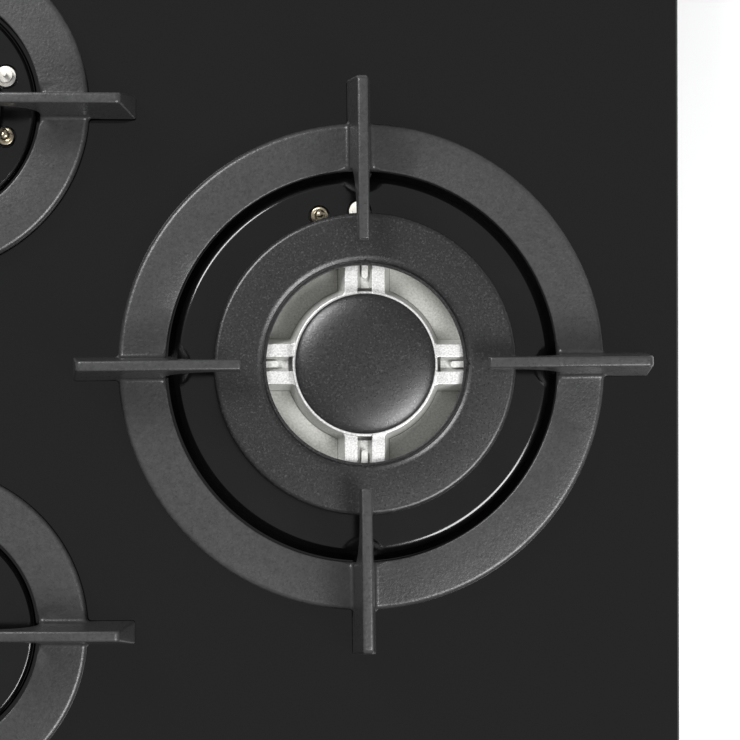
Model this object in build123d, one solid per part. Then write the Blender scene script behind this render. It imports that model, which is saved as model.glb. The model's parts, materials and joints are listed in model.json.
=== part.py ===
from build123d import *
from dataclasses import dataclass
import math
import os

# Three-burner gas cooktop on glass. Millimetres, +X right, +Y rear, +Z up.
# Z 0 is the underside of the base box, X 0 and Y 0 are the middle of the glass.

os.makedirs("parts", exist_ok=True)

# ---------------------------------------------------------------- glass plate
glass_width = 450
glass_depth = 510
glass_thickness = 6
glass_corner = 8
glass_chamfer = 0.8

# ------------------------------------------------------- base box and sealing
box_height = 48
box_sheet = 1
box_corner = 18
box_flange = 9
vent_length = 40
vent_width = 5
vent_pitch = 12
vent_count = 6
vent_setback = 76
bond_thickness = 2
bond_margin = 1.5
frame_corner = 1
seal_inset = 2
seal_width = 10
seal_thickness = 3
side_seal_gap = 2
front_seal_gap = 8
rear_seal_gap = 29

# ---------------------------------------------------------- worktop clamping
worktop_max = 30
clamp_y = 140
clamp_width = 20
clamp_sheet = 2
clamp_leg = 30
clamp_foot = 20
clamp_slot = 12
clamp_screw_r = 2.5
clamp_head_r = 4.5
clamp_head_height = 3
clamp_screw_length = 9
screw_clearance = 0.2

# ------------------------------------------------------------ burner places
wok_x = 85.5
wok_setback = 169
left_x = -107.8
rear_setback = 56
burner_pitch = 230

# -------------------------------------------------- burner cup, tray, screws
beam_height = 19
beam_width = 40
beam_sheet = 1.5
beam_foot = 8
small_beam_overhang = 35
wok_beam_overhang = 50
cup_wall = 2.5
cup_floor = 3
cup_flange = 3
cup_windows = 4
cup_window = 10
cup_window_height = 10
window_sill = 18
ear_thickness = 5.5
ear_gap = 0.5
ear_wall = 2.2
injector_boss_r = 7
injector_boss_height = 14
duct_width = 9
duct_bore_r = 2.5
duct_rise = 9
tube_r = 4
tube_bore_r = 3
tube_bend = 10
tube_fit = 0.1
union_r = 6.5
union_length = 8
union_depth = 6
injector_r = 4.5
injector_height = 6
injector_thread_r = 2.9
injector_thread = 3.5
jet_r = 0.8
thread_fit = 0.1
tray_sheet = 1
tray_height = 3.6
tray_roll = 3.4
tray_well_gap = 1.6
notch_r = 10.5
notch_centre_gap = 2.2
wok_hole_gap = 5.7
wok_tray_cover = 10.4
tray_screw_r = 1.5
tray_screw_head_r = 2.6
tray_screw_length = 6
screw_turn = 45
tray_head_fit = 0.2
floor_screw_length = 8
floor_screw_head = 1.6
floor_screw_turn = 35

# --------------------------------------------------------- spark and probe
ceramic_r = 3.3
ceramic_drop = 18
ceramic_top = 11
pin_r = 1
pin_top = 16
collar_r = 4.5
collar_height = 2
electrode_hole_r = 5.5
probe_body_r = 3
probe_nut_r = 3.7
probe_nut_height = 4
probe_tip_r = 2.25
probe_tip_round = 2.15
probe_tip_top = 16
probe_hole_r = 4.8
probe_fit = 0.1
wok_spark_gap = 5.6
wok_probe_gap = 6.3

# --------------------------------------------------------------- wok crown
crown_base = 3
crown_ring_r = 62
crown_ring_wall = 3
crown_ring_top = 20
crown_opening_r = 44.4
crown_inner_wall = 2.5
crown_floor_top = 6
inner_crown_r = 31.5
inner_crown_wall = 3
inner_crown_top = 24
inner_crown_floor = 10
bridge_width = 17.4
bridge_top = 19
trough_width = 6.3
trough_floor_width = 3.2
trough_depth = 3.2
tongue_start_r = 37.3
tongue_end_r = 45.6
bridge_tongue = 2.8
bridge_tongue_drop = 0.5
slot_inner_r = 31.2
slot_outer_r = 33.1
slot_depth = 7
slot_port_r = 1.2
rim_notch_depth = 1.2
rim_notch_inner_r = 30.7
pocket_round = 2.6
pocket_draft = 12
spigot_fit = 0.4
spigot_wall = 2.5
spigot_depth = 7
venturi_gap = 3
wok_venturi_r = 9
wok_venturi_bore_r = 6.5
port_width = 1.6
port_height = 4
wok_ports = 48
inner_ports = 24
inner_port_r = 0.75
inner_port_drop = 2.6
inner_port_turn = 7.5

# --------------------------------------------------------------- wok caps
cap_thickness = 5
ring_cap_overhang = 3
cap_lip_r = 42.9
cap_lip_drop = 2.8
cap_rim_r = 44.8
cap_bevel = 0.8
cap_edge_round = 2
cap_rib = 2
cap_rib_width = 2
cap_rib_fit = 0.5
cap_notch = 1.4
inner_cap_r = 30.5
inner_cap_edge = 3.4
inner_cap_dome = 1.8
inner_cap_round = 1.6

# --------------------------------------------------------- small burners
small_crown_top = 16
small_crown_wall = 2.5
small_cap_thickness = 5
small_venturi_r = 6
small_venturi_bore_r = 4.5

# ------------------------------------------------------------- pan supports
support_height = 45
support_ring_bottom = 3
support_ring_top = 10
support_ring_round = 2.2
support_ring_width = 21
finger_top_width = 4.5
finger_foot_width = 10.2
finger_end_slope = 2.3
finger_end_round = 2.5
finger_underside = 36.5
finger_haunch = 20
finger_edge_round = 1
finger_foot_length = 15
finger_count = 4
finger_root_round = 1.8
finger_sink = 2
finger_nose_bevel = 2
foot_r = 3.5
foot_inset = 8
foot_stem_r = 1.5
foot_stem = 5
foot_stem_fit = 0.1
wok_support_gap = 0.6
wok_finger_reach = 20.3
wok_support_inner_r = 53.4
wok_support_shift_x = -0.8
wok_support_shift_y = -0.6
wok_support_turn = 0.6
small_support_r = 73
small_support_tip_r = 94.3
small_support_inner_r = 24

# --------------------------------------------------------- taps and gas rail
knob_setback = 42
front_knob_x = -72
rear_knob_x = 0
wok_knob_x = 72
rail_r = 7
rail_bore_r = 6
rail_behind_taps = 22
rail_left = -90
rail_right = 170
rail_bend = 25
rail_cap = 3
tap_r = 11
tap_below_plug = 7
tap_bonnet = 2
tap_block_width = 18
tap_block_height = 22
tap_spigot_r = 4
tap_spigot_bore_r = 2
tap_spigot_fit = 0.2
tap_spigot_reach = 1
saddle_fit = 0.1
plug_below_glass = 16
plug_height = 24
plug_bottom_r = 5
plug_top_r = 6.2
plug_fit = 0.05
plug_slot = 2.4
plug_slot_depth = 6.5
plug_port_r = 1.5
plug_port_rise = 9
simmer_port_r = 0.6
full_flame_turn = 90
simmer_turn = 210
tap_chamber = 5.5
spindle_r = 3
spindle_fit = 0.06
spindle_collar_r = 5
spindle_collar = 1.5
tongue_thickness = 2.2
tongue_width = 9
tongue_gap = 0.5
spindle_top = 20
spindle_flat = 0.8
spindle_flat_length = 12
magnet_r = 5.5
magnet_rise = 6
magnet_length = 14
push_travel = 3.5

# ----------------------------------------------------------- knobs and seals
knob_push_gap = 0.3
knob_skirt_r = 20.5
knob_skirt_top_r = 19.5
knob_skirt_height = 5
knob_grip_r = 15.5
knob_grip_top_r = 14.5
knob_height = 22
knob_wall = 2
knob_hollow = 12
knob_hub_r = 6.5
knob_hub_fit = 0.05
knob_edge_round = 1.2
knob_rib_width = 5
knob_rib_height = 1.2
knob_rib_inset = 1
knob_rib_round = 0.4
seal_hole_r = 7
seal_neck_fit = 0.3
seal_bore_fit = 0.3
seal_flange_r = 9.5
seal_flange = 1.2
seal_neck_below = 0.5

# -------------------------------------------------------- ignition switches
switch_width = 26
switch_depth = 22
switch_height = 7
switch_bore_fit = 0.5

# ------------------------------------------------- spark generator, terminal
module_x = 55
module_wall_gap = 5
module_width = 70
module_depth = 50
module_height = 26
module_round = 3
terminal_x = 126
terminal_width = 36
terminal_depth = 40
terminal_height = 24
gland_z = 14
gland_r = 6.8
gland_flange_r = 10
gland_flange = 2.5
gland_bore_r = 4
gland_outside = 6
gland_hole_fit = 0.2
terminal_gap = 4

# ------------------------------------------------------- cutting and matching
cut_margin = 1
level_match = 0.02

# ------------------------------------------------------------------- leads
lead_r = 1.2
capillary_r = 1
lead_bend = 6
capillary_bend = 6
wok_lead_z = 20
rear_lead_z = 17
front_lead_z = 24
front_lead_x = -20
front_lead_wall_gap = 17
front_capillary_x = -39
rear_capillary_x = -33
wok_capillary_x = 20
harness_x = 160
mains_wire_r = 2
mains_wire_offset = 10

# ---------------------------------------------------------------- gas inlet
inlet_thread_r = 10.48
inlet_thread = 15
inlet_hex = 24
inlet_hex_thickness = 6
inlet_spigot_r = 9.5
inlet_spigot = 8
inlet_hole_r = 10
inlet_bore_r = 5

# ------------------------------------------------------------ gas tube routes
rear_tube_x = -50
rear_tube_start_x = 32
rear_tube_rail_gap = 31
rear_tube_cup_gap = 57
wok_tube_x = 112
wok_tube_cup_gap = 98

# --------------------------------------------------------------- worked out
glass_bottom = box_height + bond_thickness
glass_top = glass_bottom + glass_thickness
floor_top = box_sheet
cup_bottom = floor_top + beam_height
cup_inside = cup_bottom + cup_floor
crown_seat = glass_top + tray_sheet
seal_reach = seal_inset + seal_width
side_wall = glass_width / 2 - seal_reach - side_seal_gap - box_flange
front_wall = seal_reach + front_seal_gap + box_flange - glass_depth / 2
rear_wall = glass_depth / 2 - seal_reach - rear_seal_gap - box_flange
box_width = 2 * side_wall
box_depth = rear_wall - front_wall
box_y = (front_wall + rear_wall) / 2
vent_y = front_wall + vent_setback
knob_y = knob_setback - glass_depth / 2
rail_y = knob_y + rail_behind_taps
rear_y = rear_wall - rear_setback
front_y = rear_y - burner_pitch
wok_y = rear_wall - wok_setback
module_y = rear_wall - module_wall_gap - module_depth / 2
front_lead_y = rear_wall - front_lead_wall_gap
rear_tube_turn_y = rail_y + rear_tube_rail_gap
rear_tube_end_y = rear_y - rear_tube_cup_gap
wok_tube_turn_y = wok_y - wok_tube_cup_gap
boss_top = cup_inside + injector_boss_height
tube_z = cup_inside + duct_rise
venturi_bottom = boss_top + injector_height + venturi_gap
ceramic_bottom = glass_top - ceramic_drop
plug_top = glass_bottom - plug_below_glass
plug_bottom = plug_top - plug_height
tap_bottom = plug_bottom - tap_below_plug
tap_top = plug_top + tap_chamber + tap_bonnet
rail_z = plug_bottom + plug_port_rise
magnet_z = tap_bottom + magnet_rise
tongue_end = plug_top - plug_slot_depth + push_travel + tongue_gap
knob_gap = seal_flange + push_travel + knob_push_gap


@dataclass
class Burner:
    """One burner: its place and the radii of the pieces that stack on it."""
    name: str
    x: float
    y: float
    cup_r: float
    flange_r: float
    hub_r: float
    glass_hole_r: float
    tray_r: float
    crown_r: float
    cap_r: float
    venturi_r: float
    venturi_bore_r: float
    ports: int
    screws: int
    spark_r: float
    spark_turn: float
    probe_r: float
    probe_turn: float


wok_probe_r = crown_ring_r + wok_probe_gap
wok_hole_r = wok_probe_r + wok_hole_gap
wok = Burner("wok", wok_x, wok_y, cup_r=52, flange_r=60, hub_r=50.5,
             glass_hole_r=wok_hole_r, tray_r=wok_hole_r + wok_tray_cover,
             crown_r=crown_ring_r, cap_r=crown_ring_r + ring_cap_overhang,
             venturi_r=wok_venturi_r, venturi_bore_r=wok_venturi_bore_r,
             ports=wok_ports, screws=4,
             spark_r=crown_ring_r + wok_spark_gap, spark_turn=1.5,
             probe_r=wok_probe_r, probe_turn=16.5)
rear = Burner("rear", left_x, rear_y, cup_r=26, flange_r=33, hub_r=24.5,
              glass_hole_r=43, tray_r=50.4, crown_r=33, cap_r=35,
              venturi_r=small_venturi_r, venturi_bore_r=small_venturi_bore_r,
              ports=30, screws=3,
              spark_r=38.8, spark_turn=-70, probe_r=38.8, probe_turn=-110)
front = Burner("front", left_x, front_y, cup_r=18, flange_r=24, hub_r=16.5,
               glass_hole_r=43, tray_r=50.4, crown_r=23, cap_r=25,
               venturi_r=small_venturi_r, venturi_bore_r=small_venturi_bore_r,
               ports=22, screws=3,
               spark_r=29, spark_turn=-65, probe_r=29, probe_turn=-115)
burners = [wok, rear, front]
wok_support_r = wok.tray_r + wok_support_gap + support_ring_width
wok_support_tip_r = wok_support_r + wok_finger_reach
knob_places = {"wok": wok_knob_x, "rear": rear_knob_x, "front": front_knob_x}


# ------------------------------------------------------------------- helpers
def rod(radius, low, high, x=0, y=0):
    """Upright cylinder between two heights."""
    return Pos(x, y, low) * Cylinder(radius, high - low, align=(Align.CENTER, Align.CENTER, Align.MIN))


def tube(outer, inner, low, high, x=0, y=0):
    """Upright ring between two heights."""
    return rod(outer, low, high, x, y) - rod(inner, low, high, x, y)


def block(width, depth, low, high, x=0, y=0):
    """Upright box centred on x, y between two heights."""
    return Pos(x, y, low) * Box(width, depth, high - low, align=(Align.CENTER, Align.CENTER, Align.MIN))


def rod_along_y(radius, start, end, x, z):
    """Cylinder along Y between two depths."""
    length = end - start
    return Pos(x, (start + end) / 2, z) * Rot(90, 0, 0) * Cylinder(radius, length)


def rod_along_x(radius, start, end, y, z):
    """Cylinder along X between two widths."""
    length = end - start
    return Pos((start + end) / 2, y, z) * Rot(0, 90, 0) * Cylinder(radius, length)


def rounded_plate(width, depth, radius, low, high, y=0):
    """Flat plate with rounded upright corners, its middle on X 0."""
    outline = Pos(0, y) * RectangleRounded(width, depth, radius)
    return extrude(Plane.XY.offset(low) * outline, high - low)


def turned(points, rounds=None):
    """Body of revolution from a closed outline of (radius, height) points."""
    face = make_face(Plane.XZ * Polyline(*points, close=True))
    if rounds:
        for (radius, height), size in rounds.items():
            corner = face.vertices().sort_by_distance((radius, 0, height))[0]
            face = fillet(corner, size)
    return revolve(face, Axis.Z)


def around(shape, count, start=0):
    """Copies of a shape turned about Z."""
    step = 360 / count
    return [Rot(0, 0, start + step * i) * shape for i in range(count)]


def station(radius, turn):
    """Point at a radius, turned anticlockwise from the rear."""
    angle = math.radians(turn)
    return -radius * math.sin(angle), radius * math.cos(angle)


def pipe(points, radius, bends, bore=0):
    """Round tube or wire along straight runs joined by tangent arcs."""
    path = FilletPolyline(*points, radius=bends) if len(points) > 2 else Polyline(*points)
    start = Plane(origin=path @ 0, z_dir=path % 0)
    outer = sweep(start * Circle(radius), path=path)
    if bore:
        outer = outer - sweep(start * Circle(bore), path=path)
    return outer


def save(shape, name):
    """Write one node."""
    export_step(shape, f"parts/{name}.step")


def save_group(shapes, name):
    """Write several separate solids as one node."""
    save(Compound(children=[s.solid() for s in shapes]), name)


# --------------------------------------------------------------------- shell
def make_glass():
    plate = rounded_plate(glass_width, glass_depth, glass_corner, glass_bottom, glass_top)
    rims = plate.edges().group_by(Axis.Z)
    plate = chamfer(rims[0] + rims[-1], glass_chamfer)
    for b in burners:
        plate -= rod(b.glass_hole_r, glass_bottom, glass_top, b.x, b.y)
    for x in knob_places.values():
        plate -= rod(seal_hole_r, glass_bottom, glass_top, x, knob_y)
    return plate


def frame_ring(width, depth, radius, band, low, high, y=0):
    """Flat frame with an open middle."""
    inner_radius = max(radius - band, frame_corner)
    outer = rounded_plate(width, depth, radius, low, high, y)
    return outer - rounded_plate(width - 2 * band, depth - 2 * band, inner_radius, low, high, y)


def make_bond():
    width = box_width + 2 * (box_flange - bond_margin)
    depth = box_depth + 2 * (box_flange - bond_margin)
    band = box_flange - 2 * bond_margin + box_sheet
    corner = box_corner + box_flange - bond_margin
    return frame_ring(width, depth, corner, band, box_height, glass_bottom, box_y)


def make_rim_seal():
    width = glass_width - 2 * seal_inset
    depth = glass_depth - 2 * seal_inset
    return frame_ring(width, depth, glass_corner, seal_width, glass_bottom - seal_thickness, glass_bottom)


def make_base_box():
    shell = rounded_plate(box_width, box_depth, box_corner, 0, box_height, box_y)
    shell += rounded_plate(box_width + 2 * box_flange, box_depth + 2 * box_flange,
                           box_corner + box_flange, box_height - box_sheet, box_height, box_y)
    shell -= rounded_plate(box_width - 2 * box_sheet, box_depth - 2 * box_sheet,
                           box_corner - box_sheet, floor_top, box_height, box_y)
    for i in range(vent_count):
        x = (i - (vent_count - 1) / 2) * vent_pitch
        shell -= block(vent_width, vent_length, 0, floor_top, x, vent_y)
    shell -= rod_along_y(inlet_hole_r, rear_wall - 2 * box_sheet, rear_wall + box_sheet, rail_right, rail_z)
    shell -= rod_along_y(gland_r + gland_hole_fit, rear_wall - 2 * box_sheet, rear_wall + box_sheet,
                         terminal_x, gland_z)
    reach = side_wall + box_sheet
    for y in (-clamp_y, clamp_y):
        shell -= rod_along_x(clamp_screw_r + screw_clearance, -reach, reach, y, clamp_screw_z())
    return shell


def make_beam(carried, overhang):
    """Folded steel channel with outward feet on the box floor, under one or more cups."""
    x = carried[0].x
    low_y = min(b.y for b in carried) - overhang
    high_y = max(b.y for b in carried) + overhang
    y = (low_y + high_y) / 2
    length = high_y - low_y
    top = floor_top + beam_height
    beam = block(beam_width, length, floor_top, top, x, y)
    beam -= block(beam_width - 2 * beam_sheet, length, floor_top, top - beam_sheet, x, y)
    foot_x = (beam_width + beam_foot) / 2
    for side in (-1, 1):
        beam += block(beam_foot, length, floor_top, floor_top + beam_sheet, x + side * foot_x, y)
    for b in carried:
        hole = rod(tray_screw_r + thread_fit, top - beam_sheet, top, 0, floor_screw_place(b))
        for cut in around(hole, 2, floor_screw_turn):
            beam -= Pos(b.x, b.y) * cut
    return beam


# -------------------------------------------------------------------- clamps
def clamp_foot_top():
    return glass_bottom - seal_thickness - worktop_max


def clamp_screw_z():
    return clamp_foot_top() + clamp_leg / 2


def make_clamp(side, y):
    """Angle bracket: a slotted leg on the box wall, a foot under the worktop."""
    foot_top = clamp_foot_top()
    leg_low = foot_top - clamp_sheet
    leg = block(clamp_sheet, clamp_width, leg_low, leg_low + clamp_leg, side_wall + clamp_sheet / 2, y)
    foot = block(clamp_foot, clamp_width, leg_low, foot_top, side_wall + clamp_foot / 2, y)
    slot_face = Plane.YZ.offset(side_wall) * Pos(y, clamp_screw_z()) * SlotOverall(
        clamp_slot, 2 * (clamp_screw_r + screw_clearance), rotation=90)
    clamp = leg + foot - extrude(slot_face, clamp_sheet)
    return clamp if side > 0 else mirror(clamp, about=Plane.YZ)


def make_clamp_screw(side, y):
    z = clamp_screw_z()
    head_face = side_wall + clamp_sheet
    shank = rod_along_x(clamp_screw_r, head_face - clamp_screw_length, head_face, y, z)
    head = rod_along_x(clamp_head_r, head_face, head_face + clamp_head_height, y, z)
    screw = shank + head
    return screw if side > 0 else mirror(screw, about=Plane.YZ)


# ------------------------------------------------------------ burner bottoms
def make_cup(b):
    """Die-cast burner base with its flange, gas duct, air windows and ears."""
    inner_r = b.cup_r - cup_wall
    cup = rod(b.cup_r, cup_bottom, glass_top)
    cup += rod(b.flange_r, glass_top - cup_flange, glass_top)
    cup -= rod(inner_r, cup_inside, glass_top)
    window_low = cup_bottom + window_sill
    window = block(2 * b.cup_r, cup_window, window_low, window_low + cup_window_height, b.cup_r)
    for cut in around(window, cup_windows, screw_turn):
        cup -= cut
    cup += rod(injector_boss_r, cup_inside, boss_top)
    duct_low = tube_z - duct_width / 2
    duct = block(duct_width, inner_r, duct_low, tube_z + duct_width / 2, 0, -inner_r / 2)
    cup += duct
    cup += rod_along_y(union_r, -b.cup_r - union_length, -inner_r, 0, tube_z)
    cup -= rod_along_y(duct_bore_r, -b.cup_r - union_length, 0, 0, tube_z)
    cup -= rod_along_y(tube_r + tube_fit, -b.cup_r - union_length, -b.cup_r - union_length + union_depth,
                       0, tube_z)
    cup -= rod(injector_thread_r + thread_fit, tube_z, boss_top)
    ear_top = glass_bottom - ear_gap
    ears = ((b.spark_r, b.spark_turn, ceramic_r), (b.probe_r, b.probe_turn, probe_body_r))
    for radius, turn, body_r in ears:
        x, y = station(radius, turn)
        ear_r = body_r + ear_wall
        arm = radius - inner_r
        ear = block(2 * ear_r, arm, ear_top - ear_thickness, ear_top, 0, inner_r + arm / 2)
        ear = Rot(0, 0, turn) * ear + rod(ear_r, ear_top - ear_thickness, ear_top, x, y)
        ear -= rod(inner_r, ear_top - ear_thickness, ear_top)
        cup += ear
        cup -= rod(body_r + probe_fit, ear_top - ear_thickness, ear_top, x, y)
    screw_r = (b.hub_r + b.flange_r) / 2
    for hole in around(rod(tray_screw_r + thread_fit, glass_top - cup_flange, glass_top, 0, screw_r),
                       b.screws, screw_turn):
        cup -= hole
    for hole in around(rod(tray_screw_r + thread_fit, cup_bottom, cup_inside, 0, floor_screw_place(b)),
                       2, floor_screw_turn):
        cup -= hole
    return Pos(b.x, b.y) * cup


def floor_screw_place(b):
    """Radius of the two screws that hold a cup on its beam."""
    return (injector_boss_r + b.cup_r - cup_wall) / 2


def make_injector(b):
    """Brass jet with a hexagon head and a threaded stem."""
    head = extrude(Plane.XY.offset(boss_top) * RegularPolygon(injector_r, 6), injector_height)
    jet = head + rod(injector_thread_r, boss_top - injector_thread, boss_top)
    jet -= rod(jet_r, boss_top - injector_thread, boss_top + injector_height)
    return Pos(b.x, b.y) * jet


def make_tray(b):
    """Pressed enamelled plate: rolled edge, raised top, a well that the crown stands in."""
    plate_top = glass_top + tray_height
    under = plate_top - tray_sheet
    well_r = b.crown_r + tray_well_gap
    inner_roll = tray_roll - tray_sheet
    tray = turned(
        [(b.hub_r, glass_top), (well_r + tray_sheet, glass_top), (well_r + tray_sheet, under),
         (b.tray_r - tray_sheet, under), (b.tray_r - tray_sheet, glass_top), (b.tray_r, glass_top),
         (b.tray_r, plate_top), (well_r, plate_top), (well_r, crown_seat), (b.hub_r, crown_seat)],
        {(b.tray_r, plate_top): tray_roll, (b.tray_r - tray_sheet, under): inner_roll})
    tray -= rod(electrode_hole_r, glass_top, plate_top, *station(b.spark_r, b.spark_turn))
    tray -= rod(probe_hole_r, glass_top, plate_top, *station(b.probe_r, b.probe_turn))
    for hole in around(rod(tray_screw_head_r + tray_head_fit, glass_top, crown_seat, 0,
                           (b.hub_r + b.flange_r) / 2), b.screws, screw_turn):
        tray -= hole
    if b is wok:
        notch_centre_r = b.tray_r + notch_centre_gap
        for cut in around(rod(notch_r, glass_top, plate_top, 0, notch_centre_r), finger_count):
            tray -= cut
    return Pos(b.x, b.y) * tray


def make_burner_screws():
    """Flush screws through the trays and screws through the cup floors."""
    screws = []
    for b in burners:
        top = rod(tray_screw_head_r, glass_top, crown_seat) + rod(
            tray_screw_r, glass_top - tray_screw_length, glass_top)
        low = rod(tray_screw_head_r, cup_inside, cup_inside + floor_screw_head) + rod(
            tray_screw_r, cup_inside - floor_screw_length, cup_inside)
        for screw in around(Pos(0, (b.hub_r + b.flange_r) / 2) * top, b.screws, screw_turn):
            screws.append(Pos(b.x, b.y) * screw)
        for screw in around(Pos(0, floor_screw_place(b)) * low, 2, floor_screw_turn):
            screws.append(Pos(b.x, b.y) * screw)
    return screws


def make_electrode(b):
    """Metal pin in a ceramic body, with a steel collar above the tray."""
    x, y = station(b.spark_r, b.spark_turn)
    body = rod(ceramic_r, ceramic_bottom, glass_top + ceramic_top)
    plate_top = glass_top + tray_height
    body += rod(collar_r, plate_top, plate_top + collar_height)
    body += rod(pin_r, glass_top + ceramic_top, glass_top + pin_top)
    return Pos(b.x + x, b.y + y) * body


def make_thermocouple(b):
    """Probe with a nut above the tray and a domed tip."""
    x, y = station(b.probe_r, b.probe_turn)
    nut_low = glass_top + tray_height
    nut_high = nut_low + probe_nut_height
    body = rod(probe_body_r, ceramic_bottom, nut_low)
    body += rod(probe_nut_r, nut_low, nut_high)
    tip = rod(probe_tip_r, nut_high, glass_top + probe_tip_top)
    tip = fillet(tip.edges().sort_by(Axis.Z)[-1], probe_tip_round)
    return Pos(b.x + x, b.y + y) * (body + tip)


# -------------------------------------------------------------------- crowns
def spigot_and_venturi(b, floor_height):
    """What drops from a crown into its cup: the locating ring and the mixing tube."""
    spigot_r = b.cup_r - cup_wall - spigot_fit
    lower = tube(spigot_r, spigot_r - spigot_wall, crown_seat - spigot_depth, crown_seat)
    lower += tube(b.venturi_r, b.venturi_bore_r, venturi_bottom, floor_height)
    return lower


def port_cutter(low, high, inner_r, outer_r, width=port_width):
    """One radial flame port."""
    return block(width, outer_r - inner_r, low, high, 0, (inner_r + outer_r) / 2)


def pocket_outline(level):
    """One quarter pocket between two bridges, seen from above."""
    ring = Circle(crown_ring_r) - Circle(inner_crown_r)
    corner = bridge_width / 2
    quarter = Pos(corner, corner) * Rectangle(crown_ring_r, crown_ring_r, align=Align.MIN)
    outline = ring & quarter
    return Plane.XY.offset(level) * fillet(outline.vertices(), pocket_round)


def bridge_trough(arm_top, end):
    """Space cut out of one bridge: a trough with sloping sides, and a slot with a port at its inner end."""
    half_top = trough_width / 2
    half_floor = trough_floor_width / 2
    low = arm_top - trough_depth
    section = make_face(Plane.XZ.offset(-slot_inner_r) * Polyline(
        (-half_floor, low), (half_floor, low), (half_top, arm_top), (half_top, arm_top + cut_margin),
        (-half_top, arm_top + cut_margin), (-half_top, arm_top), close=True))
    trough = extrude(section, end - slot_inner_r, dir=(0, 1, 0))
    slot_low = arm_top - slot_depth
    trough += block(trough_width, slot_outer_r - slot_inner_r, slot_low, arm_top + cut_margin,
                    0, (slot_inner_r + slot_outer_r) / 2)
    port_z = slot_low + slot_port_r
    chamber_r = inner_crown_r - inner_crown_wall
    return trough + rod_along_y(slot_port_r, chamber_r - cut_margin, slot_inner_r + cut_margin, 0, port_z)


def make_bridge_tongue(arm_top):
    """Flat tongue with a round end, standing in the outer half of a trough."""
    high = arm_top - bridge_tongue_drop
    low = arm_top - trough_depth
    nose = tongue_start_r + bridge_tongue / 2
    tongue = block(bridge_tongue, tongue_end_r - nose, low, high, 0, (nose + tongue_end_r) / 2)
    return tongue + rod(bridge_tongue / 2, low, high, 0, nose)


def make_wok_crown():
    """Ring chamber and centre chamber on one floor, joined by four bridges."""
    seat = crown_seat
    ring_top = glass_top + crown_ring_top
    floor_top_z = glass_top + crown_floor_top
    chamber_floor = glass_top + inner_crown_floor
    centre_top = glass_top + inner_crown_top
    arm_top = glass_top + bridge_top
    crown = rod(crown_ring_r, seat, arm_top)
    crown += tube(crown_ring_r, crown_opening_r, seat, ring_top)
    pocket = extrude(pocket_outline(arm_top), -(arm_top - floor_top_z), taper=pocket_draft)
    pocket -= tube(crown_ring_r + cut_margin, crown_opening_r, floor_top_z - cut_margin, arm_top + cut_margin)
    for cut in around(pocket, finger_count):
        crown -= cut
    channel_outer = crown_ring_r - crown_ring_wall
    channel_inner = crown_opening_r + crown_inner_wall
    crown -= tube(channel_outer, channel_inner, seat + crown_base, ring_top)
    crown += rod(inner_crown_r, seat, centre_top)
    chamber_r = inner_crown_r - inner_crown_wall
    crown -= rod(chamber_r, chamber_floor, centre_top)
    trough = bridge_trough(arm_top, channel_inner + cut_margin)
    notch_low = centre_top - rim_notch_depth
    notch_end = inner_crown_r + cut_margin
    trough += block(trough_width, notch_end - rim_notch_inner_r, notch_low, centre_top,
                    0, (rim_notch_inner_r + notch_end) / 2)
    for cut in around(trough, finger_count):
        crown -= cut
    for tongue in around(make_bridge_tongue(arm_top), finger_count):
        crown += tongue
    for cut in around(port_cutter(ring_top - port_height, ring_top, channel_outer - cut_margin,
                                  crown_ring_r + cut_margin), wok_ports):
        crown -= cut
    port_z = centre_top - inner_port_drop
    port = rod_along_y(inner_port_r, chamber_r - cut_margin, notch_end, 0, port_z)
    for cut in around(port, inner_ports, inner_port_turn):
        crown -= cut
    crown += spigot_and_venturi(wok, chamber_floor)
    crown -= rod(wok_venturi_bore_r, venturi_bottom, chamber_floor)
    return Pos(wok.x, wok.y) * crown


def make_small_crown(b):
    """Plain round crown with one ring of ports."""
    top = glass_top + small_crown_top
    floor_height = crown_seat + crown_base
    inner_r = b.crown_r - small_crown_wall
    crown = rod(b.crown_r, crown_seat, top) - rod(inner_r, floor_height, top)
    crown += spigot_and_venturi(b, floor_height)
    crown -= rod(b.venturi_bore_r, venturi_bottom, floor_height)
    for cut in around(port_cutter(top - port_height, top, inner_r - cut_margin,
                                  b.crown_r + cut_margin), b.ports):
        crown -= cut
    return Pos(b.x, b.y) * crown


# ---------------------------------------------------------------------- caps
def make_outer_cap():
    """Enamelled ring with a stepped inner lip and a locating rib below."""
    low = glass_top + crown_ring_top
    high = low + cap_thickness
    rib_r = crown_opening_r + crown_inner_wall + cap_rib_fit
    cap = turned(
        [(cap_lip_r, low), (rib_r, low), (rib_r, low - cap_rib), (rib_r + cap_rib_width, low - cap_rib),
         (rib_r + cap_rib_width, low), (wok.cap_r, low), (wok.cap_r, high), (cap_rim_r + cap_bevel, high),
         (cap_rim_r, high - cap_bevel), (cap_rim_r, high - cap_lip_drop), (cap_lip_r, high - cap_lip_drop)],
        {(wok.cap_r, high): cap_edge_round, (wok.cap_r, low): cap_bevel})
    notch = Pos(0, cap_rim_r, low) * Rot(0, 0, 45) * Box(
        cap_notch, cap_notch, cap_thickness, align=(Align.CENTER, Align.CENTER, Align.MIN))
    for cut in around(notch, finger_count):
        cap -= cut
    return Pos(wok.x, wok.y) * cap


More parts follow.
